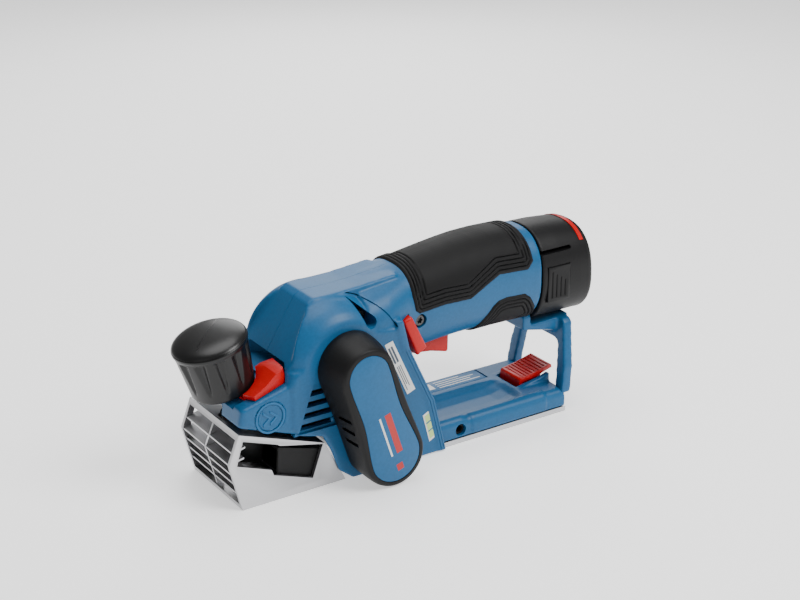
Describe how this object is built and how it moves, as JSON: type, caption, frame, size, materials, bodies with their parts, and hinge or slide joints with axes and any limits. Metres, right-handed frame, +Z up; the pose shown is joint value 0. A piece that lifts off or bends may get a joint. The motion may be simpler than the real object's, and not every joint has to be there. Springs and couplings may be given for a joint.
{
  "type": "cordless hand planer",
  "caption": "Cordless electric hand planer with a domed depth knob, windowed front shoe, side belt cover, soft grip and slide-in battery.",
  "frame": {"origin": "on the rear sole's underside, on the centre line, 65 mm ahead of its rear end", "axes": "+X from the depth knob towards the battery, +Z up from the sole, the belt cover on the -Y side"},
  "size_m": [0.2832, 0.09, 0.127],
  "materials": {
    "blue_plastic": "fine grained moulded blue plastic",
    "black_plastic": "fine grained black plastic",
    "rubber": "soft black overmould",
    "red_plastic": "smooth red plastic",
    "aluminium": "satin cast and milled aluminium",
    "steel": "bright steel",
    "winding": "laminated stator with copper winding",
    "brass": "plain brass",
    "label": "printed film"
  },
  "bodies": {
    "housing": {"housing_left": "blue_plastic", "housing_right": "blue_plastic", "base_body": "blue_plastic", "rear_sole": "aluminium", "sole_screw_1": "steel", "sole_screw_2": "steel", "sole_screw_3": "steel", "sole_screw_4": "steel", "guide_insert": "brass", "rating_label": "label", "chip_duct": "black_plastic", "drum_bearing_left": "steel", "drum_bearing_right": "steel", "motor_stator": "winding", "motor_bearing_left": "steel", "motor_bearing_right": "steel", "drive_belt": "rubber", "belt_cover": "black_plastic", "belt_cover_inlay": "blue_plastic", "housing_screw_1": "steel", "housing_screw_2": "steel", "trigger_pin": "steel", "trigger_spring": "steel", "switch_module": "black_plastic", "control_board": "black_plastic", "lock_off_spring": "steel", "charge_indicator": "label", "motor_label": "label", "grip_top": "rubber", "grip_lower": "rubber", "battery_terminal_block": "black_plastic", "park_pin": "steel", "park_spring": "steel", "spindle_spring": "steel"},
    "knob": {"depth_knob": "black_plastic", "depth_spindle": "steel", "depth_scale_ring": "steel"},
    "shoe": {"front_shoe": "aluminium"},
    "ejector": {"deflector_lever": "red_plastic", "chip_vane": "black_plastic"},
    "cutter": {"cutter_drum": "aluminium", "planer_blade": "steel", "blade_clamp": "aluminium", "blade_screw_1": "steel", "blade_screw_2": "steel", "driven_pulley": "steel"},
    "rotor": {"motor_rotor": "steel", "motor_fan": "black_plastic", "drive_pulley": "steel"},
    "trigger": {"trigger": "red_plastic"},
    "lock_off": {"lock_off_button": "red_plastic"},
    "battery": {"battery_case": "black_plastic", "battery_cell_1": "steel", "battery_cell_2": "steel", "battery_cell_3": "steel"},
    "latch_left": {"battery_latch_left": "black_plastic"},
    "latch_right": {"battery_latch_right": "black_plastic"},
    "park_foot": {"park_lever": "red_plastic"}
  },
  "joints": [
    {"name": "depth_knob_turn", "type": "hinge", "parent": "housing", "child": "knob", "pos_m": [-0.1653, 0, 0.06425], "axis": [-0.2504, 0, 0.9681], "range_deg": [-327.4, 0]},
    {"name": "shoe_slide", "type": "slide", "parent": "housing", "child": "shoe", "axis": [-0.2504, 0, 0.9681], "range_m": [0, 0.002], "deforming": ["spindle_spring"]},
    {"name": "ejector_turn", "type": "hinge", "parent": "housing", "child": "ejector", "pos_m": [-0.1653, 0, 0.06425], "axis": [-0.2504, 0, 0.9681], "range_deg": [0, 98]},
    {"name": "drum_spin", "type": "hinge", "parent": "housing", "child": "cutter", "pos_m": [-0.083, 0, 0.02], "axis": [0, 1, 0], "continuous": true},
    {"name": "motor_spin", "type": "hinge", "parent": "housing", "child": "rotor", "pos_m": [-0.103, 0, 0.075], "axis": [0, 1, 0], "continuous": true},
    {"name": "trigger_squeeze", "type": "hinge", "parent": "housing", "child": "trigger", "pos_m": [-0.044, 0, 0.064], "axis": [0, -1, 0], "range_deg": [0, 8], "stiffness_Nm_per_rad": 0.4, "springref_deg": -6.88, "deforming": ["trigger_spring"]},
    {"name": "lock_off_press", "type": "slide", "parent": "housing", "child": "lock_off", "axis": [0, 1, 0], "range_m": [0, 0.003], "stiffness_N_per_m": 500, "springref_m": -0.003, "deforming": ["lock_off_spring"]},
    {"name": "battery_slide", "type": "slide", "parent": "housing", "child": "battery", "axis": [1, 0, 0], "range_m": [0, 0.07]},
    {"name": "latch_left_press", "type": "slide", "parent": "battery", "child": "latch_left", "axis": [0, 1, 0], "range_m": [0, 0.0016], "stiffness_N_per_m": 800, "springref_m": -0.003},
    {"name": "latch_right_press", "type": "slide", "parent": "battery", "child": "latch_right", "axis": [0, -1, 0], "range_m": [0, 0.0016], "stiffness_N_per_m": 800, "springref_m": -0.003},
    {"name": "park_foot_swing", "type": "hinge", "parent": "housing", "child": "park_foot", "pos_m": [0.054, 0, 0.009], "axis": [0, -1, 0], "range_deg": [0, 20], "stiffness_Nm_per_rad": 0.02, "springref_deg": 25.78}
  ],
  "couplings": [
    {"joint": "depth_knob_turn", "follows": "shoe_slide", "rad_per_m": -2856},
    {"joint": "motor_spin", "follows": "drum_spin", "ratio": 1.5}
  ]
}
